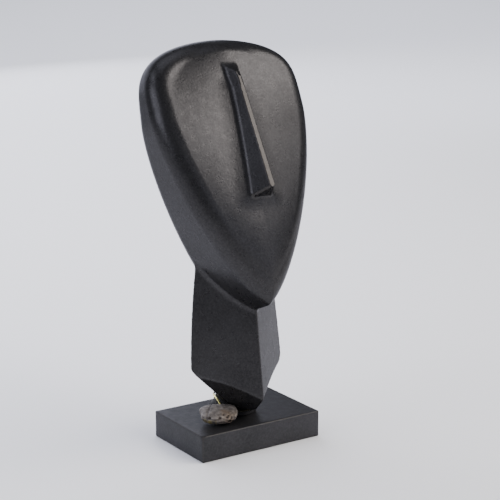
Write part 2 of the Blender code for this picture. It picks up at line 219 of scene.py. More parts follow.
# Across the head, the wire is bright up to the first place, and from the second one on it is painted dark
# brown as the neck's shadow
WIRE_PAINTED_SHADOW_SPAN = (-10.5 * MM, -8.0 * MM)
WIRE_ROUTE = [
    (-11.8 * MM, -4.3 * MM, 5.4 * MM),
    (-11.7 * MM, -2.2 * MM, 6.9 * MM),
    (-11.3 * MM, 1.2 * MM, 8.4 * MM),
    (-9.8 * MM, 6.4 * MM, 8.6 * MM),
    (-5.9 * MM, 11.1 * MM, 8.2 * MM),
    (0.0, 13.2 * MM, 7.6 * MM),
    (6.0 * MM, 11.8 * MM, 6.9 * MM),
    (10.2 * MM, 7.3 * MM, 6.0 * MM),
    (11.3 * MM, 1.6 * MM, 4.9 * MM),
    (9.8 * MM, -4.4 * MM, 4.0 * MM),
    (6.2 * MM, -8.4 * MM, 3.5 * MM),
    (1.5 * MM, -10.1 * MM, 3.4 * MM),
    (-3.2 * MM, -10.3 * MM, 3.5 * MM),
    (-6.7 * MM, -10.6 * MM, 4.1 * MM),
]


# Camera

CAMERA_PLACE = Vector((-386.7 * MM, -600.6 * MM, 265.7 * MM))
CAMERA_AZIMUTH = math.radians(33.33)
CAMERA_ELEVATION = math.radians(13.26)
CAMERA_ROLL = math.radians(-0.21)
CAMERA_LENS = 106.76
CAMERA_SENSOR = 36.0


def heading(azimuth, elevation):
    """The direction at an azimuth from -Y towards +X and an elevation above level."""
    level = math.cos(elevation)
    return Vector((math.sin(azimuth) * level, -math.cos(azimuth) * level, math.sin(elevation)))


def look_from(place, azimuth, elevation, roll, lens):
    """A camera at a place, turned to an azimuth from -Y towards -X and looking down by an elevation."""
    backward = heading(-azimuth, elevation)
    level = Vector((math.cos(azimuth), -math.sin(azimuth), 0.0))
    upright = backward.cross(level)
    right = math.cos(roll) * level + math.sin(roll) * upright
    up = math.cos(roll) * upright - math.sin(roll) * level
    data = bpy.data.cameras.new("photo_camera")
    data.sensor_width = CAMERA_SENSOR
    data.lens = lens
    data.clip_start = 0.01
    data.clip_end = 20.0
    data.dof.use_dof = False
    camera = bpy.data.objects.new("photo_camera", data)
    bpy.context.scene.collection.objects.link(camera)
    turn = Matrix((right, up, backward)).transposed().to_4x4()
    camera.matrix_world = Matrix.Translation(place) @ turn
    bpy.context.scene.camera = camera
    return camera


# Materials. A map range's inputs 0 to 4 are its value, the range it comes from and the range it goes to.
# A colour mix's input 0 is its share and inputs 6 and 7 are its colours.


def srgb(code):
    """Linear colour from a hex code such as "8a8a8c"."""
    linear = []
    for index in (0, 2, 4):
        part = int(code[index:index + 2], 16) / 255
        linear.append(part / 12.92 if part <= 0.04045 else ((part + 0.055) / 1.055) ** 2.4)
    return tuple(linear) + (1.0,)


def new_material(name):
    made = bpy.data.materials.new(name)
    made.use_nodes = True
    tree = made.node_tree
    return made, tree, tree.nodes["Principled BSDF"]


def add(tree, kind, inputs, **settings):
    """Adds a node, with values or sockets for its inputs by name or number, and its own settings."""
    node = tree.nodes.new(kind)
    for key, value in settings.items():
        setattr(node, key, value)
    for key, value in inputs.items():
        if isinstance(value, bpy.types.NodeSocket):
            tree.links.new(value, node.inputs[key])
        else:
            node.inputs[key].default_value = value
    return node


def patinated_bronze(name, dark, light, rubbed, smoothest, roughest, metal_share):
    """Sand-cast bronze, filed smooth, patinated black-brown and waxed: a dark half-gloss skin with cloudy
    tone, a fine stipple left by the sand, scattered pinholes, and warmer metal rubbed bare on the edges."""
    made, tree, shader = new_material(name)
    where = add(tree, "ShaderNodeTexCoord", {}).outputs["Object"]
    # Clouds of patina about 26 mm across, blotches of 3 mm, and sand grain drawn at 0.9 mm to show
    cloud = add(tree, "ShaderNodeTexNoise", {"Vector": where, "Scale": 38.0, "Detail": 4.0}).outputs["Fac"]
    blotch = add(tree, "ShaderNodeTexNoise", {"Vector": where, "Scale": 330.0, "Detail": 3.0}).outputs["Fac"]
    grain = add(tree, "ShaderNodeTexNoise", {"Vector": where, "Scale": 1100.0, "Detail": 2.0}).outputs["Fac"]
    # Pinholes about 0.5 mm wide, in loose groups
    cells = add(tree, "ShaderNodeTexVoronoi", {"Vector": where, "Scale": 430.0}).outputs["Distance"]
    hole = add(tree, "ShaderNodeMapRange", {0: cells, 1: 0.06, 2: 0.18, 3: 0.35, 4: 0.0}).outputs[0]
    groups = add(tree, "ShaderNodeTexNoise", {"Vector": where, "Scale": 150.0, "Detail": 1.0}).outputs["Fac"]
    grouped = add(tree, "ShaderNodeMapRange", {0: groups, 1: 0.60, 2: 0.70}).outputs[0]
    pinhole = add(tree, "ShaderNodeMath", {0: hole, 1: grouped}, operation="MULTIPLY").outputs[0]

    tone = add(tree, "ShaderNodeMapRange", {0: cloud, 1: 0.35, 2: 0.65}).outputs[0]
    skin = add(tree, "ShaderNodeMix", {0: tone, 6: srgb(dark), 7: srgb(light)}, data_type="RGBA").outputs[2]
    speck = add(tree, "ShaderNodeMapRange", {0: grain, 1: 0.35, 2: 0.70, 4: 0.22}).outputs[0]
    skin = add(tree, "ShaderNodeMix", {0: speck, 6: skin, 7: srgb(rubbed)}, data_type="RGBA").outputs[2]
    # The hollow attribute holds dirt in creases and painted shade low on the foot; with the pinholes, it
    # turns the skin near black
    dirt_and_painted_shade = add(tree, "ShaderNodeAttribute", {}, attribute_name="hollow").outputs["Fac"]
    dirt_and_painted_shade = add(tree, "ShaderNodeMath", {0: dirt_and_painted_shade, 1: pinhole}, operation="MAXIMUM").outputs[0]
    skin = add(tree, "ShaderNodeMix", {0: dirt_and_painted_shade, 6: skin, 7: srgb("141312")}, data_type="RGBA").outputs[2]
    edge = add(tree, "ShaderNodeAttribute", {}, attribute_name="wear").outputs["Fac"]
    patchy = add(tree, "ShaderNodeMapRange", {0: blotch, 1: 0.25, 2: 0.50, 3: 0.45}).outputs[0]
    bare = add(tree, "ShaderNodeMath", {0: edge, 1: patchy}, operation="MULTIPLY").outputs[0]
    skin = add(tree, "ShaderNodeMix", {0: bare, 6: skin, 7: srgb("3d3a37")}, data_type="RGBA").outputs[2]
    tree.links.new(skin, shader.inputs["Base Color"])
    # The dark oxide skin scatters a little light, so that no side of it goes quite black, and dirt and the
    # painted shade are matte
    free_of_dirt_and_shade = add(tree, "ShaderNodeMath", {0: 1.0, 1: dirt_and_painted_shade}, operation="SUBTRACT").outputs[0]
    metal = add(tree, "ShaderNodeMath", {0: free_of_dirt_and_shade, 1: metal_share}, operation="MULTIPLY").outputs[0]
    tree.links.new(metal, shader.inputs["Metallic"])
    # The patina soaks up part of the light that grazes it, as bare metal doesn't
    shader.inputs["Specular Tint"].default_value = srgb("c5c5c8")

    rough = add(tree, "ShaderNodeMapRange", {0: blotch, 1: 0.3, 2: 0.7, 3: smoothest, 4: roughest}).outputs[0]
    rough = add(tree, "ShaderNodeMath", {0: dirt_and_painted_shade, 1: 0.45, 2: rough}, operation="MULTIPLY_ADD").outputs[0]
    tree.links.new(rough, shader.inputs["Roughness"])

    # Filed swells under a stipple of blotches and grain, with the pinholes sunk into it
    relief = add(tree, "ShaderNodeMath", {0: blotch, 1: 0.9, 2: grain}, operation="MULTIPLY_ADD").outputs[0]
    relief = add(
        tree, "ShaderNodeMath", {0: pinhole, 1: -0.9, 2: relief}, operation="MULTIPLY_ADD").outputs[0]
    swells = add(
        tree, "ShaderNodeBump", {"Height": cloud, "Strength": 1.0, "Distance": 0.12 * MM}).outputs[0]
    stipple = add(tree, "ShaderNodeBump", {
        "Height": relief, "Strength": 0.45, "Distance": 0.1 * MM, "Normal": swells}).outputs[0]
    tree.links.new(stipple, shader.inputs["Normal"])
    return made


def crushed_lead():
    """Lead pinched shut in a sealing press: soft dull grey-brown metal with a chalky bloom, dark soil in its
    creases, holes and cracks, painted shade on its belly and along its hem, rust stains at one end and a
    yellowish rim."""
    made, tree, shader = new_material("crushed_lead")
    where = add(tree, "ShaderNodeTexCoord", {}).outputs["Object"]
    # Bloom in patches of 2 mm over stains of 6 mm
    bloom = add(tree, "ShaderNodeTexNoise", {"Vector": where, "Scale": 500.0, "Detail": 4.0}).outputs["Fac"]
    stain = add(tree, "ShaderNodeTexNoise", {"Vector": where, "Scale": 160.0, "Detail": 2.0}).outputs["Fac"]
    tone = add(tree, "ShaderNodeMapRange", {0: bloom, 1: 0.35, 2: 0.65}).outputs[0]
    skin = add(
        tree, "ShaderNodeMix", {0: tone, 6: srgb("5f5955"), 7: srgb("8d867f")}, data_type="RGBA").outputs[2]
    # Painted shade darkens the belly, which faces down; the lower rim is yellowish and the torn end is rusty
    under = add(tree, "ShaderNodeAttribute", {}, attribute_name="under").outputs["Fac"]
    skin = add(tree, "ShaderNodeMix", {0: under, 6: skin, 7: srgb("353134")}, data_type="RGBA").outputs[2]
    rim = add(tree, "ShaderNodeAttribute", {}, attribute_name="rim").outputs["Fac"]
    rim = add(tree, "ShaderNodeMath", {0: rim, 1: tone}, operation="MULTIPLY").outputs[0]
    skin = add(tree, "ShaderNodeMix", {0: rim, 6: skin, 7: srgb("857a45")}, data_type="RGBA").outputs[2]
    rust = add(tree, "ShaderNodeAttribute", {}, attribute_name="rust").outputs["Fac"]
    patchy = add(tree, "ShaderNodeMapRange", {0: stain, 1: 0.35, 2: 0.60}).outputs[0]
    rust = add(tree, "ShaderNodeMath", {0: rust, 1: patchy}, operation="MULTIPLY").outputs[0]
    skin = add(tree, "ShaderNodeMix", {0: rust, 6: skin, 7: srgb("7a6752")}, data_type="RGBA").outputs[2]
    # Dark soil in the holes, cracks and fold, and painted shade along the hem
    earth_and_painted_shade = add(tree, "ShaderNodeAttribute", {}, attribute_name="earth_and_painted_shade").outputs["Fac"]
    skin = add(tree, "ShaderNodeMix", {0: earth_and_painted_shade, 6: skin, 7: srgb("2a1f17")}, data_type="RGBA").outputs[2]
    tree.links.new(skin, shader.inputs["Base Color"])
    shader.inputs["Metallic"].default_value = 0.4
    shader.inputs["Roughness"].default_value = 0.55
    relief = add(tree, "ShaderNodeBump", {"Height": bloom, "Strength": 1.0, "Distance": 0.4 * MM})
    tree.links.new(relief.outputs[0], shader.inputs["Normal"])
    return made


def bright_brass():
    """Drawn brass wire: bright yellow at its free end, with a thin tarnish in patches of about 3 mm, and
    painted dark brown as shadow where it lies round the foot under the neck."""
    made, tree, shader = new_material("bright_brass_wire")
    where = add(tree, "ShaderNodeTexCoord", {}).outputs["Object"]
    tarnish = add(tree, "ShaderNodeTexNoise", {"Vector": where, "Scale": 350.0, "Detail": 2.0}).outputs["Fac"]
    tone = add(tree, "ShaderNodeMapRange", {0: tarnish, 1: 0.40, 2: 0.65}).outputs[0]
    skin = add(
        tree, "ShaderNodeMix", {0: tone, 6: srgb("f4ec9e"), 7: srgb("b5a55a")}, data_type="RGBA").outputs[2]
    # Painted shadow of the neck: the wire turns dark brown past a place across the head
    across = add(tree, "ShaderNodeSeparateXYZ", {0: where}).outputs["X"]
    painted_shadow_share = add(tree, "ShaderNodeMapRange", {0: across, 1: WIRE_PAINTED_SHADOW_SPAN[0], 2: WIRE_PAINTED_SHADOW_SPAN[1]}).outputs[0]
    skin = add(tree, "ShaderNodeMix", {0: painted_shadow_share, 6: skin, 7: srgb("2b2920")}, data_type="RGBA").outputs[2]
    tree.links.new(skin, shader.inputs["Base Color"])
    shader.inputs["Metallic"].default_value = 1.0
    rough = add(tree, "ShaderNodeMapRange", {0: tarnish, 1: 0.3, 2: 0.7, 3: 0.25, 4: 0.42}).outputs[0]
    tree.links.new(rough, shader.inputs["Roughness"])
    return made


# The wire


def smooth_route(chosen, spacing):
    """Points about one spacing apart on a smooth curve through the chosen ones."""
    places = [Vector(point) for point in chosen]
    before = [2 * places[0] - places[1]] + places[:-1]
    after = places[1:] + [2 * places[-1] - places[-2]]
    slopes = [0.5 * (late - early) for early, late in zip(before, after)]
    route = [places[0]]
    for index in range(len(places) - 1):
        steps = max(1, round((places[index + 1] - places[index]).length / spacing))
        for step in range(1, steps + 1):
            share = step / steps
            square = share * share
            cube = square * share
            route.append(
                (2 * cube - 3 * square + 1) * places[index] + (cube - 2 * square + share) * slopes[index]
                + (3 * square - 2 * cube) * places[index + 1] + (cube - square) * slopes[index + 1])
    return route


def make_wire():
    """The wire, with its start and its length."""
    route = smooth_route(WIRE_ROUTE, WIRE_POINT_SPACING)
    curve = bpy.data.curves.new("wire", "CURVE")
    curve.dimensions = "3D"
    curve.resolution_u = 4
    curve.bevel_depth = 0.5 * WIRE_DIAMETER
    curve.bevel_resolution = 5
    curve.use_fill_caps = True
    spline = curve.splines.new("BEZIER")
    spline.bezier_points.add(len(route) - 1)
    for point, place in zip(spline.bezier_points, route):
        point.co = (place.x, place.y, place.z + PLATE_TOP)
        point.handle_left_type = "AUTO"
        point.handle_right_type = "AUTO"
    wire = bpy.data.objects.new("wire", curve)
    bpy.context.scene.collection.objects.link(wire)
    curve.materials.append(bright_brass())
    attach(wire, "root")
    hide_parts("seal_wire")
    length = sum((late - early).length for early, late in zip(route, route[1:]))
    start = route[0] + Vector((0.0, 0.0, PLATE_TOP))
    return wire, tuple(start), length


# The casting's surface as a distance, all in metres and above zero outside


def smooth_min(first, second, radius):
    """The nearer of two forms, run together with a fillet."""
    share = np.clip(0.5 + 0.5 * (second - first) / radius, 0.0, 1.0)
    return second + (first - second) * share - radius * share * (1 - share)


def round_max(first, second, radius):
    """Where both forms hold, with the edge between them rounded."""
    over_first = np.maximum(first + radius, 0.0)
    over_second = np.maximum(second + radius, 0.0)
    return np.minimum(np.maximum(first, second), -radius) + np.sqrt(over_first ** 2 + over_second ** 2)


def outline_depth(across, up):
    """How far a point lies inside the head's outline, found by halving along the family of drawn-in ovals."""
    reach = np.abs(across)
    shallow = np.full_like(reach, SHALLOWEST)
    deep = np.full_like(reach, DEEPEST)
    below_widest = np.maximum(WIDEST_FROM_CHIN - up, 0.0)
    above_widest = np.maximum(up - WIDEST_FROM_CHIN, 0.0)
    on_jaw = up < WIDEST_FROM_CHIN
    across_outline, across_inside = [
        np.where(on_jaw, jaw, crown) for jaw, crown in zip(JAW_ACROSS, CROWN_ACROSS)]
    along_outline, along_inside = [
        np.where(on_jaw, jaw, crown) for jaw, crown in zip(JAW_ALONG, CROWN_ALONG)]
    for _ in range(HALVINGS):
        inset = 0.5 * (shallow + deep)
        blend = np.clip(inset / FACE_RIM_RADIUS, 0.0, 1.0)
        wide = reach / (HEAD_HALF_WIDTH - inset)
        along = np.where(on_jaw, below_widest / (WIDEST_FROM_CHIN - CHIN_INSET * inset),
                         above_widest / (HEAD_LENGTH - inset - WIDEST_FROM_CHIN))
        across_power = across_outline + (across_inside - across_outline) * blend
        along_power = along_outline + (along_inside - along_outline) * blend
        outside = wide ** across_power + along ** along_power > 1.0
        deep = np.where(outside, inset, deep)
        shallow = np.where(outside, shallow, inset)
    return 0.5 * (shallow + deep)


def swell(across, up, rim_radius, power, runs_on, keeps):
    """How much of its crown a face of the slab has: 1 at its middle and 0 about where the rim's round ends.
    Its slope runs on a little way into the rim, and its upper end keeps a share of the crown."""
    low = CHIN_INSET * rim_radius
    high = HEAD_LENGTH - rim_radius
    from_middle = np.clip(np.abs(2 * (up - low) / (high - low) - 1), 0.0, 1.2)
    length = np.clip(up, 0.1 * MM, HEAD_LENGTH - 0.1 * MM)
    jaw = np.maximum(WIDEST_FROM_CHIN - length, 0.0) / WIDEST_FROM_CHIN
    crown = np.maximum(length - WIDEST_FROM_CHIN, 0.0) / (HEAD_LENGTH - WIDEST_FROM_CHIN)
    half_width = HEAD_HALF_WIDTH * np.where(
        length < WIDEST_FROM_CHIN, (1 - jaw ** JAW_ALONG[0]) ** (1 / JAW_ACROSS[0]),
        (1 - crown ** CROWN_ALONG[0]) ** (1 / CROWN_ACROSS[0]))
    rim_share = (HEAD_HALF_WIDTH / (HEAD_HALF_WIDTH - rim_radius)) ** power
    sideways = np.clip(np.abs(across) / half_width, 0.0, 1.15)
    ends = from_middle ** SWELL_END_POWER * np.where(2 * up > low + high, 1 - keeps, 1.0)
    height = 1 + runs_on - ends - rim_share * sideways ** power
    return 0.5 * (height + np.sqrt(height ** 2 + SWELL_SOFTNESS ** 2)) - runs_on


def nose_bed(across, up):
    """The gentle rise of the face around the nose, steepest where it meets the nose."""
    along = np.clip((up - NOSE_BED_ENDS[0]) / (NOSE_BED_ENDS[1] - NOSE_BED_ENDS[0]), 0.0, 1.0)
    half = NOSE_BED_HALF_WIDTH[0] + (NOSE_BED_HALF_WIDTH[1] - NOSE_BED_HALF_WIDTH[0]) * along
    beside = np.maximum(np.abs(across) - half, 0.0)
    beyond = np.maximum(NOSE_BED_ENDS[0] - up, 0.0) + np.maximum(up - NOSE_BED_ENDS[1], 0.0)
    away = np.clip(np.sqrt(beside ** 2 + beyond ** 2) / NOSE_BED_REACH, 0.0, 1.0)
    return NOSE_BED_RISE * (1 - away) ** 2


def slab_distance(across, depth, up):
    """The head's leaning slab: a bowed, crowned face, a domed back and a rounded rim all round."""
    share = np.clip(up / HEAD_LENGTH, 0.0, 1.0)
    bow = SLAB_BOW * 4 * share * (1 - share)
    thick = THICK_AT_CHIN + (THICK_AT_CROWN - THICK_AT_CHIN) * share
    taper = (THICK_AT_CHIN - THICK_AT_CROWN) / HEAD_LENGTH
    crown = FACE_CROWN * swell(
        across, up, FACE_RIM_RADIUS, FACE_CROWN_POWER, FACE_CROWN_RUNS_ON, FOREHEAD_KEEPS)
    front = FACE_SET_BACK - bow - crown - nose_bed(across, up) - depth
    back = depth - thick + bow - BACK_CROWN * swell(across, up, BACK_RIM_RADIUS, BACK_CROWN_POWER, 0.0, 0.0)
    side = INSIDE_CAD - outline_depth(across, up)
    body = round_max(side, front, FACE_RIM_RADIUS)
    return round_max(body, back / math.sqrt(1 + taper ** 2), BACK_RIM_RADIUS)


def plane_through(first, second, third, inside):
    """(normal, offset) of the plane through three points, with its normal away from an inside point."""
    first, second, third, inside = [np.array(point, dtype=float) for point in (first, second, third, inside)]
    normal = np.cross(second - first, third - first)
    normal /= np.linalg.norm(normal)
    if (inside - first) @ normal > 0:
        normal = -normal
    return normal, first @ normal


def nose_planes():
    """(normal, offset) of the nose's ridge, side, bevel, underside and top."""
    corners = {}
    for name, (half, off_slab, height) in (
            ("tip", NOSE_TIP), ("ridge", NOSE_RIDGE_TOP), ("foot", NOSE_FOOT), ("top", NOSE_TOP)):
        corners[name] = np.array((half, -off_slab, height))
    inside = np.array((0.0, 0.0, 0.5 * (NOSE_FOOT[2] + NOSE_TOP[2])))
    mirror = np.array((-1.0, 1.0, 1.0))
    low_side = plane_through(corners["tip"], corners["ridge"], corners["foot"], inside)
    high_side = plane_through(corners["tip"], corners["ridge"], corners["top"], inside)
    ridge = plane_through(corners["tip"], corners["ridge"], corners["tip"] * mirror, inside)
    under = plane_through(corners["tip"], corners["tip"] * mirror, corners["foot"], inside)
    over = plane_through(corners["ridge"], corners["ridge"] * mirror, corners["top"], inside)
    side_normal = 0.5 * (low_side[0] + high_side[0])
    bevel_normal = side_normal + under[0]
    bevel_normal /= np.linalg.norm(bevel_normal)
    return {
        "ridge": ridge,
        "side": (side_normal, corners["tip"] @ side_normal),
        "bevel": (bevel_normal, corners["tip"] @ bevel_normal - NOSE_BEVEL),
        "under": under,
        "over": over,
    }


def off_nose_planes(across, depth, up):
    """How far points lie outside each of the nose's planes."""
    place = np.stack([np.abs(across), depth, up], axis=-1)
    return {name: place @ normal - offset for name, (normal, offset) in nose_planes().items()}


def nose_distance(across, depth, up):
    """A wedge with a narrow flat ridge, a bevel beside its tip and two flat sides."""
    off = off_nose_planes(across, depth, up)
    distance = off["side"]
    for name in ("ridge", "bevel", "under", "over"):
        distance = round_max(distance, off[name], NOSE_EDGE_RADIUS)
    return np.maximum(distance, depth + NOSE_ROOT_COVER)


def neck_distance(across, depth, height):
    """A faceted wedge with a ridge down its front, knees at its sides and a hollow cut under its front. It
    stands upright, with its height above the plate."""
    beside = np.sqrt(across ** 2 + NECK_RIDGE_SOFTNESS ** 2) - NECK_RIDGE_PROUD
    ridge = -NECK_RIDGE_FORWARD + NECK_RIDGE_SLOPE * (height - NECK_TIP_HEIGHT)
    front = (ridge + NECK_FACET_SLOPE * beside - depth) / math.sqrt(1 + NECK_FACET_SLOPE ** 2)
    above_knee = height - NECK_KNEE_HEIGHT
    half = NECK_HALF_WIDTH - NECK_SIDE_TAPER * above_knee - NECK_SIDE_CURVE * above_knee ** 2
    corner = ridge + NECK_FACET_SLOPE * half
    back_ridge = NECK_BACK - NECK_BACK_SLOPE * above_knee
    reach = np.sqrt((back_ridge - corner) ** 2 + half ** 2)
    soft = np.sqrt(across ** 2 + NECK_BACK_EDGE_RADIUS ** 2) - NECK_BACK_EDGE_PROUD * NECK_BACK_EDGE_RADIUS
    along = np.clip(soft / half, 0.0, 1.0)
    back = (soft * (back_ridge - corner) + (depth - back_ridge) * half) / reach
    back = back - NECK_BACK_BULGE * 4 * along * (1 - along)
    outwards, backwards, upwards = CHAMFER_SLOPES
    chamfer = outwards * beside - backwards * depth - upwards * height - CHAMFER_OFFSET
    chamfer = chamfer - CHAMFER_HOLLOW * (beside - CHAMFER_MIDDLE) ** 2
    knee_corner = np.array((NECK_HALF_WIDTH, NECK_KNEE_DEPTH, NECK_KNEE_HEIGHT))
    inside = np.array((0.0, 0.0, 2 * NECK_KNEE_HEIGHT))
    under_side = plane_through(NECK_UNDER_SIDE, NECK_UNDER_CHAMFER, knee_corner, inside)
    under_back = plane_through(NECK_UNDER_BACK, (0.0, NECK_BACK, NECK_KNEE_HEIGHT), knee_corner, inside)
    place = np.stack([beside, depth, height], axis=-1)
    distance = round_max(front, back, NECK_EDGE_RADIUS)
    for cut in (chamfer, place @ under_side[0] - under_side[1], place @ under_back[0] - under_back[1],
                NECK_UNDERSIDE - height, height - NECK_TOP_HEIGHT):
        distance = round_max(distance, cut, NECK_EDGE_RADIUS)
    return distance


def stem_distance(across, depth, height):
    """A round stem that flares into an oval foot."""
    drop = np.clip((STEM_FLARE_HEIGHT - height) / (STEM_FLARE_HEIGHT - JOINT_GAP), 0.0, 1.0)
    drop = drop ** STEM_FLARE_POWER
    half_width = STEM_RADIUS + (FOOT_HALF_WIDTH - STEM_RADIUS) * drop
    half_depth = STEM_RADIUS + (FOOT_HALF_DEPTH - STEM_RADIUS) * drop
    middle = STEM_BEHIND_MIDDLE + (FOOT_BEHIND_MIDDLE - STEM_BEHIND_MIDDLE) * drop
    ring = np.sqrt((across / half_width) ** 2 + ((depth - middle) / half_depth) ** 2)
    side = (ring - 1) * half_width
    standing = round_max(side, JOINT_GAP - height, STEM_EDGE_RADIUS)
    return round_max(standing, height - STEM_TOP_HEIGHT, STEM_EDGE_RADIUS)


def in_slab_frame(places):
    """Points of the scene as distances across, behind and up the head's leaning slab."""
    from_chin = places[:, 1] - CHIN[1]
    rise = places[:, 2] - CHIN[2]
    depth = from_chin * math.cos(HEAD_LEAN) - rise * math.sin(HEAD_LEAN)
    up = from_chin * math.sin(HEAD_LEAN) + rise * math.cos(HEAD_LEAN)
    return places[:, 0], depth, up


def casting_distance(places):
    """Distance of points of the scene from the whole casting."""
    across, depth, up = in_slab_frame(places)
    height = places[:, 2] - PLATE_TOP
    head = smooth_min(slab_distance(across, depth, up), nose_distance(across, depth, up), NOSE_BLEND)
    neck = neck_distance(across, places[:, 1], height)
    body = smooth_min(head, neck, NECK_BLEND)
    return smooth_min(body, stem_distance(across, places[:, 1], height), STEM_BLEND)


def slope_of(places, step=0.02 * MM):
    """The distance's gradient, by small steps each way."""
    slope = np.empty_like(places)
    for axis in range(3):
        ahead = places.copy()
        ahead[:, axis] += step
        behind = places.copy()
        behind[:, axis] -= step
        slope[:, axis] = (casting_distance(ahead) - casting_distance(behind)) / (2 * step)
    return slope


def drawn_to_surface(places, rounds):
    """The points moved along the distance's slope until it is zero, a limited way in each round."""
    for _ in range(rounds):
        distance = casting_distance(places)
        slope = slope_of(places)
        steep = np.maximum((slope ** 2).sum(axis=1), LEAST_STEEPNESS)
        move = np.clip(distance / steep, -LONGEST_MOVE, LONGEST_MOVE)
        places = places - slope * move[:, None]
    return places


def get_places(mesh_data):
    places = np.empty(3 * len(mesh_data.vertices))
    mesh_data.vertices.foreach_get("co", places)
    return places.reshape(-1, 3)


def remade(mesh_data, kind, **settings):
    """A new mesh, made from this one by a modifier of a kind."""
    copy = bpy.data.objects.new("remade", mesh_data)
    bpy.context.scene.collection.objects.link(copy)
    modifier = copy.modifiers.new("remade", kind)
    for key, value in settings.items():
        setattr(modifier, key, value)
    graph = bpy.context.evaluated_depsgraph_get()
    made = bpy.data.meshes.new_from_object(copy.evaluated_get(graph))
    bpy.data.objects.remove(copy)
    return made


def evened_copy(source, spacing):
    """The source node's form as an even mesh of quads, from a copy whose loose triangles are merged."""
    form = bmesh.new()
    form.from_mesh(source.data)
    bmesh.ops.remove_doubles(form, verts=form.verts, dist=0.001 * MM)
    merged = bpy.data.meshes.new("merged")
    form.to_mesh(merged)
    form.free()
    return remade(merged, "REMESH", mode="VOXEL", voxel_size=spacing)


def relaxed(places, edges, rounds):
    """Evens the spacing of points along the surface and puts them back on it."""
    count = len(places)
    for _ in range(rounds):
        total = np.zeros_like(places)
        number = np.zeros(count)
        for here, there in ((edges[:, 0], edges[:, 1]), (edges[:, 1], edges[:, 0])):
            for axis in range(3):
                total[:, axis] += np.bincount(here, weights=places[there, axis], minlength=count)
            number += np.bincount(here, minlength=count)
        slope = unit_rows(slope_of(places))
        move = 0.5 * (total / number[:, None] - places)
        move -= slope * (move * slope).sum(axis=1)[:, None]
        places = drawn_to_surface(places + move, 1)
    return places


def unit_rows(rows):
    return rows / np.maximum(np.linalg.norm(rows, axis=1), 1e-6)[:, None]


def bend_of(places, step=0.25 * MM):
    """How sharply the surface bends, per metre: above zero on outer edges and below it in creases."""
    total = -6 * casting_distance(places)
    for axis in range(3):
        for way in (-step, step):
            moved = places.copy()
            moved[:, axis] += way
            total += casting_distance(moved)
    return total / step ** 2


def rubbed_nose(places):
    """1 on the nose's narrow ridge and on the bevel beside its tip, which hands have kept bright."""
    across, depth, up = in_slab_frame(places)
    off = off_nose_planes(across, depth, up)
    near_nose = (np.abs(across) < NOSE_FOOT[0]) & (up > NOSE_FOOT[2] - MM) & (up < NOSE_TOP[2])
    strip = np.minimum(np.abs(off["ridge"]), np.abs(off["bevel"]))
    return near_nose * np.clip(1.6 - strip / NOSE_RUBBED_STRIP, 0.0, 1.0)


def write_attribute(mesh_data, name, values):
    made = mesh_data.attributes.new(name, "FLOAT", "POINT")
    made.data.foreach_set("value", np.clip(values, 0.0, 1.0).astype(np.float32))


def finished_piece(name, mesh_data, finish, node):
    """A piece of the scene that rides the part's one body in place of a CAD node."""
    mesh_data.name = name
    mesh_data.materials.clear()
    mesh_data.materials.append(finish)
    piece = bpy.data.objects.new(name, mesh_data)
    bpy.context.scene.collection.objects.link(piece)
    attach(piece, "root")
    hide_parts(node)
    return piece


def make_casting(bronze):
    """Head, nose, neck and foot as one skin, with its rubbed places, its dirty creases, and painted shade low
    on its foot.
    """
    even = evened_copy(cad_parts["head"], EVEN_SPACING)
    edges = np.empty(2 * len(even.edges), dtype=np.int32)
    even.edges.foreach_get("vertices", edges)
    places = drawn_to_surface(get_places(even), 3)
    places = relaxed(places, edges.reshape(-1, 2), 2)
    even.vertices.foreach_set("co", places.ravel())
    # Fewer triangles on its flats and as many as before along its edges
    made = remade(even, "DECIMATE", ratio=KEPT_SHARE)
    places = drawn_to_surface(get_places(made), 1)
    made.vertices.foreach_set("co", places.ravel())
    made.shade_smooth()
    outwards = unit_rows(slope_of(places))
    made.normals_split_custom_set_from_vertices(outwards)
    bend = bend_of(places)
    rubbed_edges = EDGE_WEAR * (bend - RUBBED_BENDS[0]) / RUBBED_BENDS[1]
    write_attribute(made, "wear", np.maximum(rubbed_edges, NOSE_WEAR * rubbed_nose(places)))
    # Wax and dust gather in the creases. Low round the foot, except on what faces down, the same dark is
    # painted shade
    low_down = np.clip(1.3 - (places[:, 2] - PLATE_TOP) / STEM_FLARE_HEIGHT, 0.0, 1.0)
    painted_foot_shade = FOOT_PAINTED_SHADE * low_down * (outwards[:, 2] > -0.2)
    write_attribute(made, "hollow", np.maximum((-bend - DIRTY_BENDS[0]) / DIRTY_BENDS[1], painted_foot_shade))
    made.update()
    return finished_piece("casting", made, bronze, "head")


# The plate


def plate_lines(half, count):
    """Grid lines from one side of the plate to the other, close together over the eased edges."""
    inner = half - PLATE_EDGE_RADIUS
    edge = [half - PLATE_EDGE_RADIUS * share for share in (0.0, 0.25, 0.5, 0.75)]
    middle = [inner - 2 * inner * step / count for step in range(count + 1)]
    return edge + middle + [-line for line in edge[::-1]]


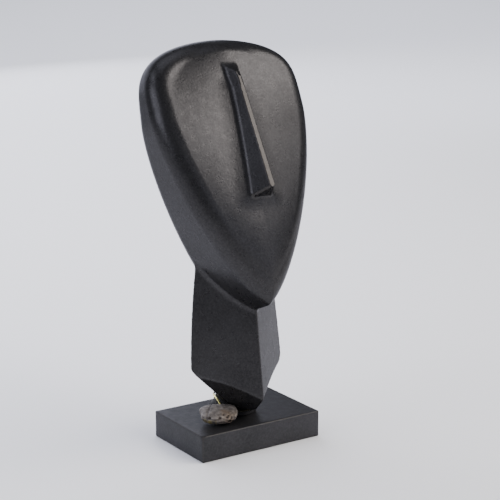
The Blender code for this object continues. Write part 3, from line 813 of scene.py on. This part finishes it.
def make_plate(bronze):
    """A box with soft, slightly wavy edges and one nick at its front corner."""
    low, high = Vector(BASE_LOW), Vector(BASE_HIGH)
    centre = 0.5 * (low + high)
    half = 0.5 * (high - low)
    lines = [plate_lines(size, count) for size, count in zip(half, PLATE_SQUARES)]
    last = [len(line) - 1 for line in lines]
    form = bmesh.new()
    wear = form.verts.layers.float.new("wear")
    # The bronze reads this as its dirt and painted shade, and the plate has none
    form.verts.layers.float.new("hollow")
    corners = {}

    def corner_at(index):
        if index not in corners:
            corners[index] = form.verts.new([lines[axis][index[axis]] for axis in range(3)])
        return corners[index]

    for axis in range(3):
        first, second = [other for other in range(3) if other != axis]
        for side in (0, last[axis]):
            for one in range(last[first]):
                for two in range(last[second]):
                    square = []
                    for step_one, step_two in ((0, 0), (1, 0), (1, 1), (0, 1)):
                        index = [side, side, side]
                        index[first] = one + step_one
                        index[second] = two + step_two
                        square.append(corner_at(tuple(index)))
                    form.faces.new(square)
    nick = Vector((-half.x, -half.y, half.z))
    for vert in form.verts:
        place = vert.co.copy()
        inner = Vector([max(-size + PLATE_EDGE_RADIUS, min(size - PLATE_EDGE_RADIUS, value))
                        for value, size in zip(place, half)])
        out = (place - inner).normalized()
        steepness = sorted(abs(value) for value in out)
        uneven = noise.noise(place * PLATE_WAVES_PER_METRE)
        vert.co = centre + inner + out * PLATE_EDGE_RADIUS
        if steepness[1] > 0.05:
            vert.co -= out * PLATE_EDGE_WAVE * (0.5 + 0.5 * uneven)
            vert[wear] = (0.55 + 0.6 * uneven) * min(1.0, 3 * steepness[1])
        dent = max(0.0, 1 - (place - nick).length / NICK_REACH)
        vert.co -= out * NICK_DEPTH * dent
        vert[wear] = max(vert[wear], 1.6 * dent)
    bmesh.ops.recalc_face_normals(form, faces=form.faces)
    made = bpy.data.meshes.new("plate")
    form.to_mesh(made)
    form.free()
    made.shade_smooth()
    return finished_piece("plate", made, bronze, "base")


# The seal


def seal_point(turn, rise):
    """A point of the pressed pillow in its own frame, before it is torn: flat on top, with a round belly."""
    upper = rise > 0
    power = SEAL_TOP_POWER if upper else SEAL_BELLY_POWER
    out = (1 - abs(rise) ** power) ** (1 / power)
    square = abs(math.cos(turn)) ** SEAL_SQUARENESS + abs(math.sin(turn)) ** SEAL_SQUARENESS
    uneven = 1 + 0.03 * math.sin(3 * turn + 0.6) + 0.015 * math.sin(7 * turn + 1.9)
    out *= square ** (-1 / SEAL_SQUARENESS) * uneven
    reach = SEAL_TO_RIGHT if math.cos(turn) > 0 else SEAL_TO_LEFT
    height = (SEAL_TOP_HEIGHT if upper else SEAL_BELLY_DEPTH) * rise
    return Vector((reach * out * math.cos(turn), SEAL_HALF_DEPTH * out * math.sin(turn), height))


def seal_damage(place, turn, rise):
    """How far the lead is pressed in or torn at a point, and how dark it is painted there: soil in its holes,
    cracks and fold, and painted shade along the hem.
    """
    # Lumps of about 4 mm, and cracks that run crosswise in the torn right end
    lump = noise.fractal(place * 260.0, 0.6, 2.0, 4)
    crack = 1 - 7 * abs(noise.noise(Vector((place.x * 520.0, place.y * 260.0, place.z * 170.0))))
    front = max(0.0, -math.sin(turn))
    from_fold = place.x - SEAL_FOLD_PLACE - SEAL_FOLD_SLANT * place.y
    fold = math.exp(-(from_fold / SEAL_CREASE_WIDTH) ** 2) * (rise > -0.3)
    hem = math.exp(-((rise - SEAL_HEM_RISE) / SEAL_HEM_WIDTH) ** 2) * front ** 0.5 * (place.x < SEAL_HEM_END)
    ragged = front * min(1.0, max(0.0, place.x / SEAL_TO_RIGHT + 0.15)) * (rise > -0.85)
    cracks = max(0.0, crack) * ragged
    dents = max(0.0, 0.4 - lump) * (1 + 1.2 * ragged)
    pit = 0.0
    for hole_turn, hole_rise, radius in SEAL_HOLES:
        hole = seal_point(math.radians(hole_turn), hole_rise)
        pit = max(pit, 1 - (place - hole).length / radius)
    inwards = (SEAL_FOLD_DEPTH * fold + SEAL_HEM_DEPTH * hem + SEAL_CRACK_DEPTH * cracks
               + SEAL_DENT_DEPTH * dents + SEAL_HOLE_DEPTH * pit)
    # Dark soil in the holes, cracks and fold, and painted shade along the hem
    earth_and_painted_shade = max(1.9 * pit, 1.1 * cracks, 0.9 * fold * (0.6 + lump), hem * (0.6 + lump))
    return inwards, earth_and_painted_shade


def make_seal(lead):
    """A lead pillow crushed in a press: a flat sloping top, a folded left end, a hem along the front, and a
    ragged right end where the wire and grit have torn it."""
    rings = []
    facts = []
    form = bmesh.new()
    for layer in range(1, SEAL_LAYERS):
        rise = -math.cos(math.pi * layer / SEAL_LAYERS)
        ring = []
        for step in range(SEAL_SIDES):
            turn = 2 * math.pi * step / SEAL_SIDES
            place = seal_point(turn, rise)
            inwards, earth_and_painted_shade = seal_damage(place, turn, rise)
            ring.append(form.verts.new(place - place.normalized() * inwards))
            facts.append((earth_and_painted_shade, rise, math.cos(turn), math.sin(turn)))
        rings.append(ring)
    for first, second in zip(rings, rings[1:]):
        for index in range(SEAL_SIDES):
            after = (index + 1) % SEAL_SIDES
            form.faces.new((first[index], first[after], second[after], second[index]))
    for ring, pole, flip in ((rings[0], -1.0, -1), (rings[-1], 1.0, 1)):
        middle = form.verts.new(sum((vert.co for vert in ring), Vector()) / SEAL_SIDES)
        facts.append((0.0, pole, 0.0, 0.0))
        for index in range(SEAL_SIDES):
            pair = (ring[index], ring[(index + 1) % SEAL_SIDES])[::flip]
            form.faces.new((pair[0], pair[1], middle))
    pose = Matrix.Rotation(SEAL_TURN, 4, "Z") @ Matrix.Rotation(SEAL_TILT, 4, "X")
    bmesh.ops.transform(form, matrix=pose, verts=form.verts)
    bmesh.ops.recalc_face_normals(form, faces=form.faces)
    # It rests where the CAD's seal rests
    low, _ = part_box("lead_seal")
    lowest = min(vert.co.z for vert in form.verts)
    place = (-SEAL_LEFT_OF_MIDDLE, -SEAL_FORWARD_OF_MIDDLE, low[2] - lowest)
    bmesh.ops.translate(form, vec=place, verts=form.verts)
    made = bpy.data.meshes.new("seal")
    form.to_mesh(made)
    form.free()
    made.shade_smooth()
    earth_and_painted_shade, rise, rightwards, backwards = np.array(facts).T
    front = np.maximum(-backwards, 0)
    on_rim = (rise < 0.12) * (rise > -0.4) * (rightwards < -0.2) * (rightwards > -0.85)
    write_attribute(made, "earth_and_painted_shade", earth_and_painted_shade)
    # Painted shade under the belly, darker towards the bottom
    write_attribute(made, "under", 1.6 * (-0.05 - rise))
    write_attribute(made, "rim", 2.0 * front * on_rim)
    write_attribute(made, "rust", 0.9 * np.clip(rightwards + 0.2, 0, 1) * front ** 0.7 * (rise > -0.7))
    return finished_piece("seal", made, lead, "lead_seal")


# Stage and lights

WARM_WHITE = "fff9f2"
COOL_WHITE = "eff1ff"
ROOM_COLOUR = "e6eeff"
ROOM_BRIGHTNESS = 0.2
FLOOR_HALF_SIZE = 6.0
# The point that the soft lights face
LIGHTS_AIM = (0.0, 0.0, 0.12)
# Each soft light's direction in degrees round from -Y towards +X and up, its distance, its width and
# height, its roll in degrees, its radiance and its colour
SOFTBOXES = {
    "key": (47, 40, 1.3, 1.4, 0.52, 9, 7.7, WARM_WHITE),
    "right_low": (62, 22, 1.5, 0.8, 0.35, 0, 2.2, WARM_WHITE),
    "left_middle": (-84, 20, 1.2, 0.75, 0.5, 0, 3.5, COOL_WHITE),
    "left_top": (-100, 48, 1.2, 0.6, 0.35, 0, 2.6, COOL_WHITE),
    "back_wall": (184, 20, 1.5, 2.0, 1.1, 0, 2.2, COOL_WHITE),
    "front_fill": (18, 12, 1.5, 2.4, 0.75, 0, 0.9, COOL_WHITE),
    "overhead": (180, 84, 1.3, 0.9, 0.9, 0, 1.2, COOL_WHITE),
}
# Each sweep light's width, its length, its way to the left of the head and behind it, and its radiance
SWEEP_LIGHTS = {
    "sweep_near": (0.8, 1.1, 0.27, -0.08, 1.7),
    "sweep_far": (2.2, 3.4, 0.0, 1.0, 1.4),
}
SWEEP_LIGHT_HEIGHT = 0.4


def make_stage():
    """A plain white floor of matte paper."""
    made, _, shader = new_material("white_sweep")
    shader.inputs["Base Color"].default_value = srgb("f4f4f4")
    shader.inputs["Roughness"].default_value = 0.9
    data = bpy.data.meshes.new("floor")
    corners = [(FLOOR_HALF_SIZE * x, FLOOR_HALF_SIZE * y, 0) for x, y in ((-1, -1), (1, -1), (1, 1), (-1, 1))]
    data.from_pydata(corners, [], [(0, 1, 2, 3)])
    data.materials.append(made)
    floor = bpy.data.objects.new("floor", data)
    bpy.context.scene.collection.objects.link(floor)
    return floor


def area_light(name, place, pointing, width, height, radiance, colour):
    """A flat soft light of a known brightness that the camera doesn't see."""
    data = bpy.data.lights.new(name, "AREA")
    data.shape = "RECTANGLE"
    data.size = width
    data.size_y = height
    data.energy = radiance * math.pi * width * height
    data.color = srgb(colour)[:3]
    light = bpy.data.objects.new(name, data)
    bpy.context.scene.collection.objects.link(light)
    light.location = place
    light.rotation_euler = pointing.to_euler()
    light.visible_camera = False
    return light


def softbox(name, azimuth, elevation, distance, width, height, roll, radiance, colour):
    """A soft light that faces the head."""
    towards = heading(math.radians(azimuth), math.radians(elevation))
    pointing = towards.to_track_quat("Z", "Y") @ Quaternion((0.0, 0.0, 1.0), math.radians(roll))
    place = Vector(LIGHTS_AIM) + distance * towards
    return area_light(name, place, pointing, width, height, radiance, colour)


def make_sweep_lights(floor):
    """Lights the sweep behind the head, as a studio does to keep it white, and nothing else."""
    turned = Quaternion((0.0, 0.0, 1.0), -CAMERA_AZIMUTH)
    lit = bpy.data.collections.new("lit_by_sweep_lights")
    lit.objects.link(floor)
    for name, (width, length, to_left, behind, radiance) in SWEEP_LIGHTS.items():
        place = turned @ Vector((-to_left, behind + 0.5 * length, SWEEP_LIGHT_HEIGHT))
        light = area_light(name, place, turned, width, length, radiance, COOL_WHITE)
        light.light_linking.receiver_collection = lit


def make_lights(floor):
    """A dim room, the soft lights round the head and the lights of the sweep."""
    world = bpy.data.worlds.new("room")
    world.use_nodes = True
    background = world.node_tree.nodes["Background"]
    background.inputs["Color"].default_value = srgb(ROOM_COLOUR)
    background.inputs["Strength"].default_value = ROOM_BRIGHTNESS
    bpy.context.scene.world = world
    for name, settings in SOFTBOXES.items():
        softbox(name, *settings)
    make_sweep_lights(floor)


def main():
    look_from(CAMERA_PLACE, CAMERA_AZIMUTH, CAMERA_ELEVATION, CAMERA_ROLL, CAMERA_LENS)
    wire, start, length = make_wire()
    seal = make_seal(crushed_lead())
    make_casting(patinated_bronze(
        "patinated_bronze_casting", dark="2b2a2b", light="343334", rubbed="565657",
        smoothest=0.26, roughest=0.34, metal_share=0.7))
    make_plate(patinated_bronze(
        "patinated_bronze_plate", dark="2c2c2d", light="353436", rubbed="535254",
        smoothest=0.34, roughest=0.44, metal_share=0.5))
    make_lights(make_stage())


main()
